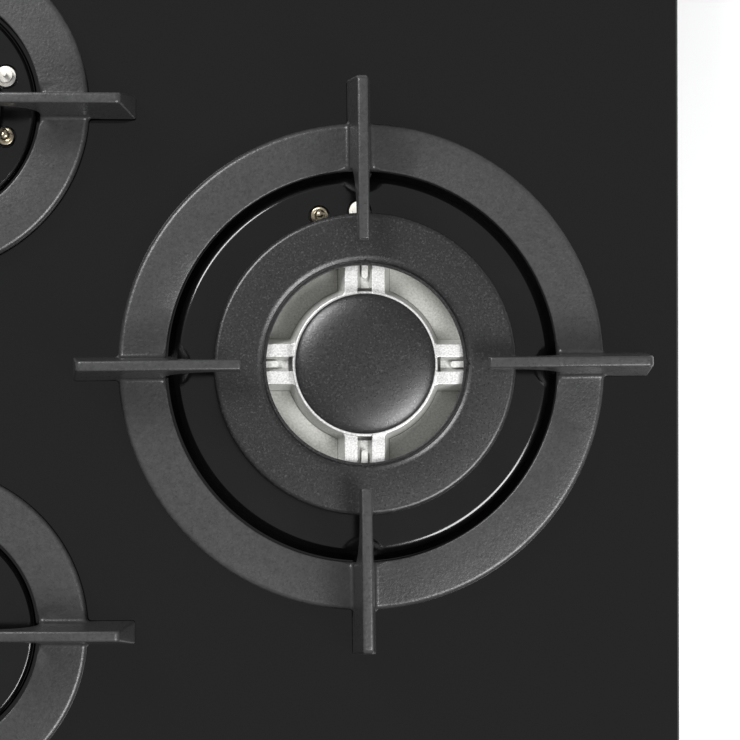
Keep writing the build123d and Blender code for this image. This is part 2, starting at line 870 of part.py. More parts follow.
def domed_cap(radius, low, edge, dome, rib_outer):
    """Round cap: rounded rim, slightly domed top, locating rib below."""
    shoulder = low + edge
    crown_point = shoulder + dome
    ball_r = (radius ** 2 + dome ** 2) / (2 * dome)
    half_way = math.sqrt(ball_r ** 2 - (radius / 2) ** 2) - ball_r
    outline = make_face(Plane.XZ * (
        Polyline((0, low), (rib_outer - cap_rib_width, low), (rib_outer - cap_rib_width, low - cap_rib),
                 (rib_outer, low - cap_rib), (rib_outer, low), (radius, low), (radius, shoulder))
        + ThreePointArc((radius, shoulder), (radius / 2, crown_point + half_way), (0, crown_point))
        + Line((0, crown_point), (0, low))))
    corner = outline.vertices().sort_by_distance((radius, 0, shoulder))[0]
    outline = fillet(corner, inner_cap_round)
    return revolve(outline, Axis.Z)


def make_inner_cap():
    rib_outer = inner_crown_r - inner_crown_wall - cap_rib_fit
    return Pos(wok.x, wok.y) * domed_cap(inner_cap_r, glass_top + inner_crown_top, inner_cap_edge,
                                         inner_cap_dome, rib_outer)


def make_small_cap(b):
    rib_outer = b.crown_r - small_crown_wall - cap_rib_fit
    return Pos(b.x, b.y) * domed_cap(b.cap_r, glass_top + small_crown_top,
                                     small_cap_thickness - inner_cap_dome, inner_cap_dome, rib_outer)


# -------------------------------------------------------------- pan supports
def finger_side_view(ring_r, tip_r, inner_r):
    """Outline of one finger in the plane of radius and height."""
    ring_inner = ring_r - support_ring_width
    top = support_height
    low = support_ring_bottom
    points = [(inner_r, top), (tip_r - finger_end_slope, top), (tip_r, low),
              (tip_r - finger_foot_length, low),
              (ring_r - finger_sink, low + finger_sink), (ring_inner, low + finger_sink),
              (ring_inner, finger_underside), (inner_r + finger_nose_bevel, finger_underside),
              (inner_r, finger_underside + finger_nose_bevel)]
    face = make_face(Plane.YZ.offset(-finger_foot_width) * Polyline(*points, close=True))
    corner = face.vertices().sort_by_distance((-finger_foot_width, ring_inner, finger_underside))[0]
    face = fillet(corner, finger_haunch)
    nose = face.vertices().sort_by_distance((-finger_foot_width, tip_r - finger_end_slope, top))[0]
    return fillet(nose, finger_end_round)


def finger(ring_r, tip_r, inner_r):
    """Cast finger: narrow on top, wider below, standing on the ring."""
    body = extrude(finger_side_view(ring_r, tip_r, inner_r), 2 * finger_foot_width, dir=(1, 0, 0))
    top_half = finger_top_width / 2
    low_half = finger_foot_width / 2
    section = make_face(Plane.XZ * Polyline(
        (-low_half, support_ring_bottom), (low_half, support_ring_bottom), (top_half, support_height),
        (-top_half, support_height), close=True))
    wedge = extrude(section, tip_r + cut_margin, dir=(0, 1, 0))
    piece = body & wedge
    tops = piece.edges().filter_by(
        lambda e: abs(e.center().Z - support_height) < level_match and e.center().Y < tip_r - finger_foot_length)
    piece = fillet(tops, finger_edge_round)
    stem_top = support_ring_bottom + foot_stem + 2 * foot_stem_fit
    piece -= rod(foot_stem_r + foot_stem_fit, support_ring_bottom, stem_top, 0, tip_r - foot_inset)
    return piece


def make_support(ring_r, tip_r, inner_r):
    """Cast ring with four fingers, on the glass plane at z 0."""
    ring_inner = ring_r - support_ring_width
    low = support_ring_bottom
    high = support_ring_top
    body = turned([(ring_inner, low), (ring_r, low), (ring_r, high), (ring_inner, high)],
                  {(ring_r, high): support_ring_round, (ring_inner, high): support_ring_round})
    for arm in around(finger(ring_r, tip_r, inner_r), finger_count):
        body += arm
    roots = body.edges().filter_by(
        lambda e: abs(e.center().Z - high) < level_match and e.length < support_ring_width)
    return fillet(roots, finger_root_round)


def make_feet(tip_r):
    """Rubber feet with a stem, one under each finger."""
    foot = rod(foot_r, 0, support_ring_bottom) + rod(
        foot_stem_r, support_ring_bottom, support_ring_bottom + foot_stem)
    return around(Pos(0, tip_r - foot_inset) * foot, finger_count)


# ------------------------------------------------------------------ gas side
def make_rail():
    """Gas rail: along the taps, then back to the inlet."""
    end_y = rear_wall - box_sheet
    rail = pipe([(rail_left, rail_y, rail_z), (rail_right, rail_y, rail_z), (rail_right, end_y, rail_z)],
                rail_r, rail_bend, rail_bore_r)
    rail += rod_along_x(rail_r, rail_left, rail_left + rail_cap, rail_y, rail_z)
    for x in knob_places.values():
        rail -= rod_along_y(tap_spigot_r + tap_spigot_fit, rail_y - rail_r - cut_margin, rail_y, x, rail_z)
    return rail


def make_inlet():
    """Inlet union in the rear wall: spigot on the rail, hexagon, outside thread."""
    hex_face = rear_wall + inlet_hex_thickness
    nut = extrude(Plane.XZ.offset(-rear_wall) * Pos(rail_right, rail_z) * RegularPolygon(
        inlet_hex / 2, 6, major_radius=False), -inlet_hex_thickness)
    union = nut + rod_along_y(inlet_thread_r, hex_face, hex_face + inlet_thread, rail_right, rail_z)
    union += rod_along_y(inlet_spigot_r, rear_wall - inlet_spigot, rear_wall, rail_right, rail_z)
    inside = rear_wall - box_sheet
    union -= rod_along_y(rail_r + tube_fit, rear_wall - inlet_spigot, inside, rail_right, rail_z)
    union -= rod_along_y(inlet_bore_r, inside, hex_face + inlet_thread, rail_right, rail_z)
    return union


def make_tap(x, outlet_side):
    """Tap body: plug bore, spindle chamber, rail saddle, outlet and magnet unit."""
    body = rod(tap_r, tap_bottom, tap_top, x, knob_y)
    block_low = rail_z - tap_block_height / 2
    saddle = block(tap_block_width, rail_behind_taps, block_low, block_low + tap_block_height,
                   x, knob_y + rail_behind_taps / 2)
    saddle -= rod_along_x(rail_r + saddle_fit, x - tap_block_width, x + tap_block_width, rail_y, rail_z)
    body += saddle.solids().sort_by(Axis.Y)[0]
    body += rod_along_y(tap_spigot_r, knob_y, rail_y - rail_bore_r + tap_spigot_reach, x, rail_z)
    outlet_x = x + outlet_side * (tap_r + union_length)
    body += rod_along_x(union_r, min(x, outlet_x), max(x, outlet_x), knob_y, tube_z)
    magnet_x = x - outlet_side * (tap_r + magnet_length)
    body += rod_along_x(magnet_r, min(x, magnet_x), max(x, magnet_x), knob_y, magnet_z)
    bore = Cone(plug_bottom_r + plug_fit, plug_top_r + plug_fit, plug_height,
                align=(Align.CENTER, Align.CENTER, Align.MIN))
    body -= Pos(x, knob_y, plug_bottom) * bore
    body -= rod(plug_top_r + plug_fit, plug_top, plug_top + tap_chamber, x, knob_y)
    body -= rod(spindle_r + spindle_fit, plug_top, tap_top, x, knob_y)
    body -= rod_along_y(tap_spigot_bore_r, knob_y, rail_y, x, rail_z)
    body -= rod_along_x(duct_bore_r, min(x, outlet_x), max(x, outlet_x), knob_y, tube_z)
    socket = outlet_x - outlet_side * union_depth
    body -= rod_along_x(tube_r + tube_fit, min(socket, outlet_x), max(socket, outlet_x), knob_y, tube_z)
    return body


def make_plug(x):
    """Taper plug: full flame and simmer ports, and a slot for the spindle's tongue."""
    plug = Pos(0, 0, plug_bottom) * Cone(plug_bottom_r, plug_top_r, plug_height,
                                         align=(Align.CENTER, Align.CENTER, Align.MIN))
    plug -= block(plug_slot, 2 * (plug_top_r + cut_margin), plug_top - plug_slot_depth, plug_top)
    plug -= rod(plug_port_r, rail_z, plug_top - plug_slot_depth)
    plug -= Rot(0, 0, -full_flame_turn) * rod_along_y(plug_port_r, 0, tap_r, 0, rail_z)
    plug -= Rot(0, 0, -simmer_turn) * rod_along_y(simmer_port_r, 0, tap_r, 0, rail_z)
    return Pos(x, knob_y) * plug


def make_spindle(x):
    """Spindle: tongue in the plug's slot, stop collar, rod with a flat for the knob."""
    collar_top = plug_top + tap_chamber
    spindle_end = glass_top + spindle_top
    shaft = rod(spindle_r, collar_top - spindle_collar, spindle_end)
    shaft += rod(spindle_collar_r, collar_top - spindle_collar, collar_top)
    shaft += block(tongue_thickness, tongue_width, tongue_end, collar_top - spindle_collar)
    shaft -= block(2 * spindle_r, spindle_flat, spindle_end - spindle_flat_length, spindle_end,
                   0, spindle_r - spindle_flat / 2)
    return Pos(x, knob_y) * shaft


def gas_tube_points(b, x, outlet_side):
    """Route of a tap's tube, from its outlet socket to the cup's union."""
    start_x = x + outlet_side * (tap_r + union_length - union_depth)
    end_y = b.y - b.cup_r - union_length + union_depth
    if b is front:
        corners = [(b.x, knob_y)]
    elif b is rear:
        corners = [(rear_tube_start_x, knob_y), (rear_tube_start_x, rear_tube_turn_y),
                   (rear_tube_x, rear_tube_turn_y), (rear_tube_x, rear_tube_end_y), (b.x, rear_tube_end_y)]
    else:
        corners = [(wok_tube_x, knob_y), (wok_tube_x, wok_tube_turn_y), (b.x, wok_tube_turn_y)]
    route = [(start_x, knob_y)] + corners + [(b.x, end_y)]
    return [(px, py, tube_z) for px, py in route]


# ----------------------------------------------------------- knobs and seals
def make_knob(x):
    """Round knob: dial skirt, grip with a pointer rib, hollow below, hub on the spindle."""
    low = glass_top + knob_gap
    skirt_top = low + knob_skirt_height
    high = low + knob_height
    knob = turned(
        [(0, low), (knob_skirt_r, low), (knob_skirt_top_r, skirt_top), (knob_grip_r, skirt_top),
         (knob_grip_top_r, high), (0, high)],
        {(knob_skirt_top_r, skirt_top): knob_edge_round, (knob_grip_top_r, high): knob_edge_round})
    rib = block(knob_rib_width, 2 * (knob_grip_top_r - knob_rib_inset), high, high + knob_rib_height)
    knob += fillet(rib.edges().group_by(Axis.Z)[-1], knob_rib_round)
    hollow_r = knob_grip_top_r - knob_wall
    knob -= tube(hollow_r, knob_hub_r, low, low + knob_hollow)
    bore = rod(spindle_r + knob_hub_fit, low, glass_top + spindle_top + knob_hub_fit)
    flat_low = glass_top + spindle_top - spindle_flat_length
    bore -= block(2 * (spindle_r + cut_margin), spindle_flat, flat_low + knob_hub_fit, high,
                  0, spindle_r - spindle_flat / 2 + 2 * knob_hub_fit)
    return Pos(x, knob_y) * (knob - bore)


def make_seal(x):
    """Rubber seal: neck in the glass hole, flange on the glass."""
    seal = rod(seal_hole_r - seal_neck_fit, glass_bottom - seal_neck_below, glass_top)
    seal += rod(seal_flange_r, glass_top, glass_top + seal_flange)
    seal -= rod(spindle_r + seal_bore_fit, glass_bottom - seal_neck_below, glass_top + seal_flange)
    return Pos(x, knob_y) * seal


def make_switch(x):
    """Switch collar that the spindle passes through."""
    body = block(switch_width, switch_depth, tap_top, tap_top + switch_height)
    body = fillet(body.edges().filter_by(Axis.Z), module_round)
    body -= rod(spindle_r + switch_bore_fit, tap_top, tap_top + switch_height)
    return Pos(x, knob_y) * body


# -------------------------------------------------------------- electrics
def make_module():
    body = block(module_width, module_depth, floor_top, floor_top + module_height, module_x, module_y)
    return fillet(body.edges().filter_by(Axis.Z), module_round)


def make_terminal():
    """Terminal box behind the rear wall, and the rubber grommet of the cable inlet."""
    inside = rear_wall - box_sheet
    housing_y = inside - gland_flange - terminal_gap - terminal_depth / 2
    housing = block(terminal_width, terminal_depth, floor_top, floor_top + terminal_height,
                    terminal_x, housing_y)
    mouth = rod_along_y(gland_bore_r, housing_y, housing_y + terminal_depth, terminal_x, gland_z)
    grommet = rod_along_y(gland_r, inside, rear_wall + gland_outside, terminal_x, gland_z)
    grommet += rod_along_y(gland_flange_r, inside - gland_flange, inside, terminal_x, gland_z)
    grommet -= rod_along_y(gland_bore_r, inside - gland_flange, rear_wall + gland_outside,
                           terminal_x, gland_z)
    return [housing - mouth, grommet]


def probe_place(b):
    x, y = station(b.probe_r, b.probe_turn)
    return b.x + x, b.y + y


def spark_place(b):
    x, y = station(b.spark_r, b.spark_turn)
    return b.x + x, b.y + y


def make_capillaries():
    """Thermocouple leads from the taps' magnet units to the probes."""
    leads = []
    places = ((wok, -1, wok_capillary_x), (rear, -1, rear_capillary_x), (front, 1, front_capillary_x))
    for b, side, column in places:
        px, py = probe_place(b)
        start = knob_places[b.name] + side * (tap_r + magnet_length)
        points = [(start, knob_y), (column, knob_y), (column, py), (px, py)]
        route = [(x, y, magnet_z) for x, y in points] + [(px, py, ceramic_bottom)]
        leads.append(pipe(route, capillary_r, capillary_bend))
    return leads


def make_wiring():
    """Spark leads, the switches' harness and the mains link to the spark generator."""
    module_left = module_x - module_width / 2
    module_front = module_y - module_depth / 2
    wx, wy = spark_place(wok)
    rx, ry = spark_place(rear)
    fx, fy = spark_place(front)
    leads = [
        pipe([(wx, wy, ceramic_bottom), (wx, wy, wok_lead_z), (wx, module_front, wok_lead_z)],
             lead_r, lead_bend),
        pipe([(rx, ry, ceramic_bottom), (rx, ry, rear_lead_z), (module_left, ry, rear_lead_z)],
             lead_r, lead_bend),
        pipe([(fx, fy, ceramic_bottom), (fx, fy, front_lead_z), (front_lead_x, fy, front_lead_z),
              (front_lead_x, front_lead_y, front_lead_z), (module_left, front_lead_y, front_lead_z)],
             lead_r, lead_bend)]
    harness_z = tap_top + switch_height / 2
    half = switch_width / 2
    module_top = floor_top + module_height
    leads.append(rod_along_x(lead_r, front_knob_x + half, rear_knob_x - half, knob_y, harness_z))
    leads.append(rod_along_x(lead_r, rear_knob_x + half, wok_knob_x - half, knob_y, harness_z))
    leads.append(pipe([(wok_knob_x + half, knob_y, harness_z), (harness_x, knob_y, harness_z),
                       (harness_x, module_y, harness_z), (module_x, module_y, harness_z),
                       (module_x, module_y, module_top)], lead_r, lead_bend))
    terminal_left = terminal_x - terminal_width / 2
    leads.append(rod_along_x(mains_wire_r, module_x + module_width / 2, terminal_left,
                             module_y + mains_wire_offset, gland_z))
    return leads


# ------------------------------------------------------------------ write all
save(make_glass(), "glass_top")
save(make_bond(), "glass_bond")
save(make_rim_seal(), "rim_seal")
save(make_base_box(), "base_box")
save(make_beam([wok], wok_beam_overhang), "burner_beam_right")
save(make_beam([front, rear], small_beam_overhang), "burner_beam_left")
clamp_spots = [(side, y) for side in (-1, 1) for y in (-clamp_y, clamp_y)]
save_group([make_clamp(side, y) for side, y in clamp_spots], "worktop_clamps")
save_group([make_clamp_screw(side, y) for side, y in clamp_spots], "clamp_screws")

for b in burners:
    save(make_cup(b), f"{b.name}_cup")
    save(make_injector(b), f"{b.name}_injector")
    save(make_tray(b), f"{b.name}_tray")
    save(make_electrode(b), f"{b.name}_electrode")
    save(make_thermocouple(b), f"{b.name}_thermocouple")
save_group(make_burner_screws(), "burner_screws")

save(make_wok_crown(), "wok_crown")
save(make_outer_cap(), "wok_outer_cap")
save(make_inner_cap(), "wok_inner_cap")
for b in (rear, front):
    save(make_small_crown(b), f"{b.name}_crown")
    save(make_small_cap(b), f"{b.name}_cap")

wok_set = Pos(wok_x + wok_support_shift_x, wok_y + wok_support_shift_y, glass_top)
wok_set *= Rot(0, 0, wok_support_turn)
save(wok_set * make_support(wok_support_r, wok_support_tip_r, wok_support_inner_r), "wok_trivet")
save_group([wok_set * foot for foot in make_feet(wok_support_tip_r)], "wok_trivet_feet")
small_support = make_support(small_support_r, small_support_tip_r, small_support_inner_r)
for b in (rear, front):
    place = Pos(b.x, b.y, glass_top)
    save(place * small_support, f"{b.name}_trivet")
    save_group([place * foot for foot in make_feet(small_support_tip_r)], f"{b.name}_trivet_feet")

save(make_rail(), "manifold")
save(make_inlet(), "gas_inlet")
outlet_sides = {"wok": 1, "rear": 1, "front": -1}
for b in burners:
    x = knob_places[b.name]
    save(make_tap(x, outlet_sides[b.name]), f"{b.name}_valve")
    save(make_plug(x), f"{b.name}_plug")
    save(make_spindle(x), f"{b.name}_spindle")
    save(make_knob(x), f"{b.name}_knob")
    route = gas_tube_points(b, x, outlet_sides[b.name])
    save(pipe(route, tube_r, tube_bend, tube_bore_r), f"{b.name}_gas_tube")
save_group([make_seal(x) for x in knob_places.values()], "knob_seals")
save_group([make_switch(x) for x in knob_places.values()], "ignition_switches")
save(make_module(), "ignition_module")
save_group(make_wiring(), "ignition_wiring")
save_group(make_capillaries(), "thermocouple_leads")
save_group(make_terminal(), "terminal_block")
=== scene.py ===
# %% [markdown]
# # A gas cooktop on black glass, seen from above
# This lesson dresses a finished CAD model of a three-burner gas cooktop. The model
# comes in as a fixed frame: every piece already has its size and place, in metres.
# Nothing here moves those pieces. We give each one a surface. Where a sharp CAD edge
# would look wrong a softer copy takes its place, and the wok burner's caps and tray
# are made again, because their highlights come from their curves.

# %% Load the frame
import bpy
import bmesh
import json
import math
from mathutils import Matrix, Vector

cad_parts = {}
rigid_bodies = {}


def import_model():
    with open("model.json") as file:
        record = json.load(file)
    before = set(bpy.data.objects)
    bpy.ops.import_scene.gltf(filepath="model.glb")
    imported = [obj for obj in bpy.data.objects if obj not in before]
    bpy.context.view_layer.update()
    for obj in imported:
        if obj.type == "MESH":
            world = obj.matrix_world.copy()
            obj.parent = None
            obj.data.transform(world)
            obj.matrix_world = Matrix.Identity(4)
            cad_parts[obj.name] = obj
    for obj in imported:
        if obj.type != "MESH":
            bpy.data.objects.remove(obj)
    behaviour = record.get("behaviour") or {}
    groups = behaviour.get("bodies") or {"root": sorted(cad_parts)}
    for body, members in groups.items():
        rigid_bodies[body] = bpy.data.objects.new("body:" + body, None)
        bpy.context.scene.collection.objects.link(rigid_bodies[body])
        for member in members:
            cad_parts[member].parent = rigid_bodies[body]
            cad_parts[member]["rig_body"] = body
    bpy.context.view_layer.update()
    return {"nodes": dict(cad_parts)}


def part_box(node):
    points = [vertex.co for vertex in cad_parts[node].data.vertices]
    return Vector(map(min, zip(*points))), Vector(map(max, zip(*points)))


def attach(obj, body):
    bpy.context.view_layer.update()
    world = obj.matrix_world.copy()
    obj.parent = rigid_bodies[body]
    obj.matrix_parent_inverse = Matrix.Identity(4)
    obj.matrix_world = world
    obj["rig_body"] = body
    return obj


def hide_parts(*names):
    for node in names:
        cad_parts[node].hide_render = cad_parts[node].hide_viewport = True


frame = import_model()
scene = bpy.context.scene
print("pieces in the frame:", len(frame["nodes"]))

# %% [markdown]
# ## What a finish is made of
# Every finish starts as one Principled shader. Real surfaces are never one flat
# value, so a helper adds a noise on Object coordinates, in real millimetres, that
# shifts the colour and the roughness a little, and a second finer noise that
# bumps the surface. We could paint image maps instead, but nodes stay sharp at
# any distance and need no file.

# %% Helpers for finishes
MM = 0.001


class Finish:
    """A material with its Principled shader and short calls that add nodes."""

    def __init__(self, name, metallic=0.0, roughness=0.5, colour=(0.5, 0.5, 0.5)):
        self.material = bpy.data.materials.new(name)
        self.material.use_nodes = True
        self.tree = self.material.node_tree
        self.shader = self.tree.nodes["Principled BSDF"]
        self.shader.inputs["Metallic"].default_value = metallic
        self.shader.inputs["Roughness"].default_value = roughness
        self.shader.inputs["Base Color"].default_value = (*colour, 1)
        self.place = self.node("ShaderNodeTexCoord").outputs["Object"]
        self.bump_chain = None

    def node(self, kind, **settings):
        made = self.tree.nodes.new(kind)
        for key, value in settings.items():
            setattr(made, key, value)
        return made

    def link(self, start, end):
        self.tree.links.new(start, end)

    def noise(self, size_mm, detail=3.0, roughness=0.55):
        made = self.node("ShaderNodeTexNoise")
        made.inputs["Scale"].default_value = 1 / (size_mm * MM)
        made.inputs["Detail"].default_value = detail
        made.inputs["Roughness"].default_value = roughness
        self.link(self.place, made.inputs["Vector"])
        return made.outputs["Fac"]

    def spread(self, value, low, high, start=0.3, end=0.7):
        """Maps a value from start..end to low..high."""
        made = self.node("ShaderNodeMapRange")
        made.inputs["From Min"].default_value = start
        made.inputs["From Max"].default_value = end
        made.inputs["To Min"].default_value = low
        made.inputs["To Max"].default_value = high
        self.link(value, made.inputs["Value"])
        return made.outputs["Result"]

    def ramp(self, value, dark, light, start=0.3, end=0.7):
        """Turns a value into a colour between dark and light."""
        made = self.node("ShaderNodeValToRGB")
        made.color_ramp.elements[0].position = start
        made.color_ramp.elements[0].color = (*dark, 1)
        made.color_ramp.elements[1].position = end
        made.color_ramp.elements[1].color = (*light, 1)
        self.link(value, made.inputs["Fac"])
        return made.outputs["Color"]

    def colours(self, value, dark, light, start=0.3, end=0.7):
        self.link(self.ramp(value, dark, light, start, end), self.shader.inputs["Base Color"])

    def vary_roughness(self, value, low, high):
        self.link(self.spread(value, low, high), self.shader.inputs["Roughness"])

    def round_edges(self, radius_mm):
        """Shades the last fraction of a millimetre before an edge as if it were rounded."""
        made = self.node("ShaderNodeBevel", samples=6)
        made.inputs["Radius"].default_value = radius_mm * MM
        self.add_normal(made)

    def bump(self, height, depth_mm, strength=1.0):
        made = self.node("ShaderNodeBump")
        made.inputs["Distance"].default_value = depth_mm * MM
        made.inputs["Strength"].default_value = strength
        self.link(height, made.inputs["Height"])
        self.add_normal(made)

    def add_normal(self, made):
        """Chains one more node that turns the normal, and gives the last one to the shader."""
        if self.bump_chain:
            self.link(self.bump_chain, made.inputs["Normal"])
        self.bump_chain = made.outputs["Normal"]
        self.link(self.bump_chain, self.shader.inputs["Normal"])


# %% [markdown]
# ## Black ceramic glass
# The plate is toughened glass, painted black from behind. What reaches the eye is
# only the reflection of the room, so the base colour is almost zero and the
# roughness is very low. Faint wiping marks keep it from being a perfect mirror.

# %% Glass finish
black_glass = Finish("black_glass", roughness=0.05, colour=(0.0010, 0.0010, 0.0011))
wiping_marks = black_glass.noise(size_mm=45, detail=5)
black_glass.vary_roughness(wiping_marks, low=0.035, high=0.075)
print("glass finish:", black_glass.material.name)

# %% [markdown]
# ## Enamel: the glossy trays and the matt caps
# Vitreous enamel is glass melted onto steel. On the trays it stays glossy, with the
# slight orange peel of a poured coat. On the caps it is matt, and fine pale grains
# in the coat sparkle. Two finishes share the idea: a dark base, a noise of the
# grain's real size, and a bump.

# %% Enamel finishes
tray_enamel = Finish("tray_enamel", roughness=0.12, colour=(0.0015, 0.0015, 0.0016))
tray_enamel.vary_roughness(tray_enamel.noise(size_mm=20, detail=4), low=0.10, high=0.18)
orange_peel = tray_enamel.noise(size_mm=2.2, detail=2)
tray_enamel.bump(orange_peel, depth_mm=0.004)

cap_enamel = Finish("cap_enamel", roughness=0.5)
cap_grain = cap_enamel.noise(size_mm=0.8, detail=4, roughness=0.7)
cap_enamel.colours(cap_grain, (0.0068, 0.0068, 0.0069), (0.085, 0.085, 0.086), start=0.55, end=0.80)
cap_enamel.vary_roughness(cap_enamel.noise(size_mm=0.9, detail=3), low=0.25, high=0.36)
cap_enamel.bump(cap_grain, depth_mm=0.09)
print("enamels:", tray_enamel.material.name, cap_enamel.material.name)

# %% [markdown]
# ## Cast iron under a thin black enamel
# A pan support is poured in sand, so its skin is pebbled at about a millimetre,
# and the thin enamel only softens it a little. The pebble is a bump from a
# noise that holds finer grains inside the coarse ones.

# %% Cast iron finish
cast_iron = Finish("cast_iron", roughness=0.45)
pebble = cast_iron.noise(size_mm=1.3, detail=4, roughness=0.6)
clouds = cast_iron.noise(size_mm=2.5, detail=6, roughness=0.7)
cast_iron.colours(clouds, (0.019, 0.019, 0.0195), (0.034, 0.034, 0.0345))
cast_iron.vary_roughness(cast_iron.noise(size_mm=1.1, detail=3), low=0.25, high=0.38)
cast_iron.round_edges(0.8)
cast_iron.bump(pebble, depth_mm=0.12)
print("iron finish:", cast_iron.material.name)

# %% [markdown]
# ## Aluminium: rough where it was cast, bright where it was turned
# A flame crown is a casting whose top faces are machined. One finish can hold both,
# because the height tells them apart: from the bridges' tops upwards the metal is
# smooth and bright, below it is the grey, grainy skin from the mould. In the wok
# burner's pockets a band of painted shade darkens the foot of the walls, where they
# meet the floor, and the walls above it are a lighter grey. The Mix node has sockets
# for several kinds of value, so the colour ones are picked by number.

# %% Helper: a casting with turned tops
MIX_SHARE = 0
MIX_FIRST = 6
MIX_SECOND = 7
MIX_RESULT = 2
cast_grey = (0.33, 0.33, 0.308)
wall_grey = (0.46, 0.46, 0.445)
turned_grey = (0.66, 0.66, 0.65)
# share of the cast colour left in the painted shade at the foot of the pocket walls
recess_shade_share = 0.35


def cast_and_turned(name, turned_from, cast=cast_grey, floor=None):
    """Cast below the height turned_from and turned above it; floor is the height of a pocket's floor."""
    finish = Finish(name, metallic=1.0)
    split = finish.node("ShaderNodeSeparateXYZ")
    finish.link(finish.place, split.inputs["Vector"])
    height = split.outputs["Z"]

    def grained(colour, grain):
        dark, light = ([share * c for c in colour] for share in (0.72, 1.28))
        return finish.ramp(grain, dark, light)

    def mixed(share, first, second):
        both = finish.node("ShaderNodeMix", data_type="RGBA")
        finish.link(share, both.inputs[MIX_SHARE])
        finish.link(first, both.inputs[MIX_FIRST])
        finish.link(second, both.inputs[MIX_SECOND])
        return both.outputs[MIX_RESULT]

    def rising(low, high):
        """Rises from 0 to 1 between two heights in mm."""
        return finish.spread(height, 0.0, 1.0, start=low * MM, end=high * MM)

    skin = finish.noise(size_mm=0.9, detail=5, roughness=0.65)
    colour = grained(cast, skin)
    if floor:
        # painted shade: a dark band where the pocket walls meet the floor, then the lighter wall grey above
        # it
        painted_recess_shade = grained([recess_shade_share * c for c in cast], skin)
        colour = mixed(rising(floor + 0.05, floor + 0.15), colour, painted_recess_shade)
        colour = mixed(rising(floor + 0.7, floor + 1.5), colour, grained(wall_grey, skin))
    turned = rising(turned_from - 0.25, turned_from - 0.05)
    colour = mixed(turned, colour, grained(turned_grey, finish.noise(size_mm=0.7, detail=3)))
    finish.link(colour, finish.shader.inputs["Base Color"])
    finish.link(finish.spread(turned, 0.62, 0.42, start=0, end=1), finish.shader.inputs["Roughness"])
    finish.link(finish.spread(turned, 0.35, 1.0, start=0, end=1), finish.shader.inputs["Metallic"])
    finish.round_edges(0.7)
    finish.bump(skin, depth_mm=0.05, strength=0.7)
    return finish


# %% Aluminium finishes
glass_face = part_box("wok_tray")[0].z / MM
bridge_top = glass_face + 19
pocket_floor = glass_face + 6
small_crown_top = glass_face + 16
above_all_cups = glass_face + 34

crown_metal = cast_and_turned("crown_metal", bridge_top, floor=pocket_floor)
small_crown_metal = cast_and_turned("small_crown_metal", small_crown_top)
cup_metal = cast_and_turned("cup_metal", above_all_cups, cast=(0.5, 0.5, 0.5))
tube_metal = Finish("tube_metal", metallic=1.0)
tube_metal.colours(tube_metal.noise(size_mm=4, detail=3), (0.62, 0.62, 0.63), (0.74, 0.74, 0.75))
tube_metal.vary_roughness(tube_metal.noise(size_mm=1.5, detail=3), low=0.28, high=0.42)
print("heights in mm: glass", round(glass_face, 3), "pocket floor", round(pocket_floor, 3))
print("heights in mm: bridges", round(bridge_top, 3), "small crowns", round(small_crown_top, 3))

# %% [markdown]
# ## Steel, brass, copper and the other small finishes
# The base box is galvanised sheet: zinc freezes in flat crystals, the spangle, which
# a Voronoi cell pattern draws well. Screws, rails and probes are plain steel with
# fine marks. Brass and copper differ from them mostly in colour.

# %% Small metal finishes
spangle_size = 9
galvanised = Finish("galvanised", metallic=1.0)
spangle = galvanised.node("ShaderNodeTexVoronoi")
spangle.inputs["Scale"].default_value = 1 / (spangle_size * MM)
galvanised.link(galvanised.place, spangle.inputs["Vector"])
galvanised.colours(spangle.outputs["Color"], (0.48, 0.50, 0.52), (0.66, 0.68, 0.70), start=0.1, end=0.9)
galvanised.vary_roughness(spangle.outputs["Distance"], low=0.32, high=0.5)


def plain_metal(name, dark, light, low, high, grain_mm=1.2):
    """Metal between two colours and between two roughnesses, with fine marks."""
    finish = Finish(name, metallic=1.0)
    finish.colours(finish.noise(grain_mm * 4, detail=4), dark, light)
    finish.vary_roughness(finish.noise(grain_mm, detail=4), low, high)
    finish.bump(finish.noise(grain_mm * 0.4, detail=3), depth_mm=0.01, strength=0.5)
    return finish


screw_steel = plain_metal("screw_steel", (0.50, 0.50, 0.50), (0.62, 0.62, 0.62), 0.25, 0.4)
rail_steel = plain_metal("rail_steel", (0.45, 0.46, 0.47), (0.58, 0.59, 0.60), 0.3, 0.45)
probe_steel = plain_metal("probe_steel", (0.34, 0.30, 0.23), (0.50, 0.43, 0.30), 0.18, 0.3)
brass = plain_metal("brass", (0.62, 0.42, 0.15), (0.80, 0.57, 0.24), 0.22, 0.36)
copper = plain_metal("copper", (0.60, 0.26, 0.14), (0.80, 0.38, 0.22), 0.25, 0.4)
print("small metals, from", galvanised.material.name, "to", copper.material.name)

# %% [markdown]
# ## Ceramic, plastics and rubbers
# These are all coloured, non-metallic stuffs. They differ in roughness and in the
# grain of their skin: glazed ceramic is smooth, moulded plastic has a fine spark
# texture, rubber is dull and slightly dusty.

# %% Non-metal finishes
def moulded(name, dark, light, low, high, grain_mm, depth_mm):
    """A moulded stuff between two colours and two roughnesses, with a grained skin."""
    finish = Finish(name)
    finish.colours(finish.noise(grain_mm * 12, detail=4), dark, light)
    finish.vary_roughness(finish.noise(grain_mm * 5, detail=3), low, high)
    finish.bump(finish.noise(grain_mm, detail=3), depth_mm, strength=0.6)
    return finish


